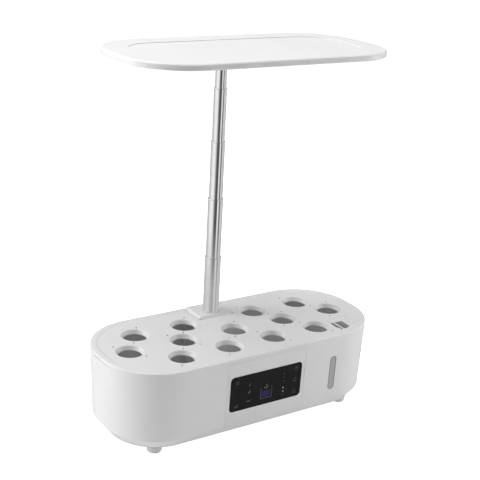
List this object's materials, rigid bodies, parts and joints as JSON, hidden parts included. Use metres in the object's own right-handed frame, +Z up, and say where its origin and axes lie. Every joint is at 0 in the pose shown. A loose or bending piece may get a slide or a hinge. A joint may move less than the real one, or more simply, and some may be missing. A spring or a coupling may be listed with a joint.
{
  "type": "countertop hydroponic garden",
  "caption": "Oval countertop hydroponic garden: water tank with a lift-off deck of pod holes, front display and a flat grow lamp on a telescopic post.",
  "frame": {"origin": "on the table, under the middle of the object", "axes": "+X right along the tank, +Y to the back, where the post stands, +Z up; the display faces -Y"},
  "size_m": [0.4, 0.1866, 0.4988],
  "materials": {
    "white_plastic": "satin moulded white plastic with a fine texture",
    "foot_plastic": "soft white moulded plastic",
    "shade_plastic": "plain moulded light grey plastic",
    "chrome_tube": "polished chrome plating with fine drawing lines",
    "display_black": "glossy black panel with faint lit icons",
    "black_plastic": "fine moulded black plastic",
    "circuit_board": "green solder mask",
    "lamp_board": "white solder mask on an aluminium core",
    "lamp_chip": "yellow phosphor in a white cup",
    "steel": "plain zinc-plated steel",
    "rubber": "soft grey rubber",
    "window_clear": "smoked clear plastic window",
    "diffuser_clear": "frosted clear plastic sheet",
    "float_orange": "moulded orange foam plastic"
  },
  "bodies": {
    "base": {"tank": "white_plastic", "control_cover": "white_plastic", "display_glass": "display_black", "light_guide": "black_plastic", "control_board": "circuit_board", "board_screws": "steel", "window_lens": "window_clear", "window_seal": "rubber", "power_inlet": "black_plastic", "inlet_nut": "steel", "bottom_cover": "shade_plastic", "base_screws": "steel", "foot_front_left": "foot_plastic", "foot_front_right": "foot_plastic", "foot_back_left": "foot_plastic", "foot_back_right": "foot_plastic", "pump_body": "black_plastic", "pump_strainer": "black_plastic", "pump_cups": "rubber", "impeller_shaft": "steel", "float_stem": "shade_plastic", "post_mount": "white_plastic", "mount_screws": "steel", "post_tube_1": "chrome_tube"},
    "deck": {"deck": "white_plastic"},
    "impeller": {"impeller": "shade_plastic"},
    "level_float": {"level_float": "float_orange"},
    "post_2": {"post_tube_2": "chrome_tube", "tube_bush_2": "black_plastic"},
    "post_3": {"post_tube_3": "chrome_tube", "tube_bush_3": "black_plastic"},
    "post_4": {"post_tube_4": "chrome_tube", "tube_bush_4": "black_plastic"},
    "post_5": {"post_tube_5": "chrome_tube", "tube_bush_5": "black_plastic", "lamp_pivot": "steel"},
    "lamp": {"lamp_hub": "shade_plastic", "hub_screws": "steel", "lamp_cover": "white_plastic", "lamp_tray": "shade_plastic", "lamp_diffuser": "diffuser_clear", "led_board": "lamp_board", "led_chips": "lamp_chip", "lamp_screws": "steel"}
  },
  "joints": [
    {"name": "deck_lift", "type": "slide", "parent": "base", "child": "deck", "axis": [0, 0, 1], "range_m": [0, 0.075]},
    {"name": "impeller_spin", "type": "hinge", "parent": "base", "child": "impeller", "pos_m": [-0.065, 0.005, 0.0302], "axis": [1, 0, 0], "continuous": true},
    {"name": "float_rise", "type": "slide", "parent": "base", "child": "level_float", "axis": [0, 0, 1], "range_m": [0, 0.062]},
    {"name": "post_2_slide", "type": "slide", "parent": "base", "child": "post_2", "axis": [0, 0, 1], "range_m": [-0.071, 0]},
    {"name": "post_3_slide", "type": "slide", "parent": "post_2", "child": "post_3", "axis": [0, 0, 1], "range_m": [-0.0656, 0.0054]},
    {"name": "post_4_slide", "type": "slide", "parent": "post_3", "child": "post_4", "axis": [0, 0, 1], "range_m": [-0.0583, 0.0127]},
    {"name": "post_5_slide", "type": "slide", "parent": "post_4", "child": "post_5", "axis": [0, 0, 1], "range_m": [-0.041, 0.03]},
    {"name": "lamp_swivel", "type": "hinge", "parent": "post_5", "child": "lamp", "pos_m": [0, 0.06, 0.4906], "axis": [0, 0, 1], "range_deg": [-90, 90]}
  ]
}
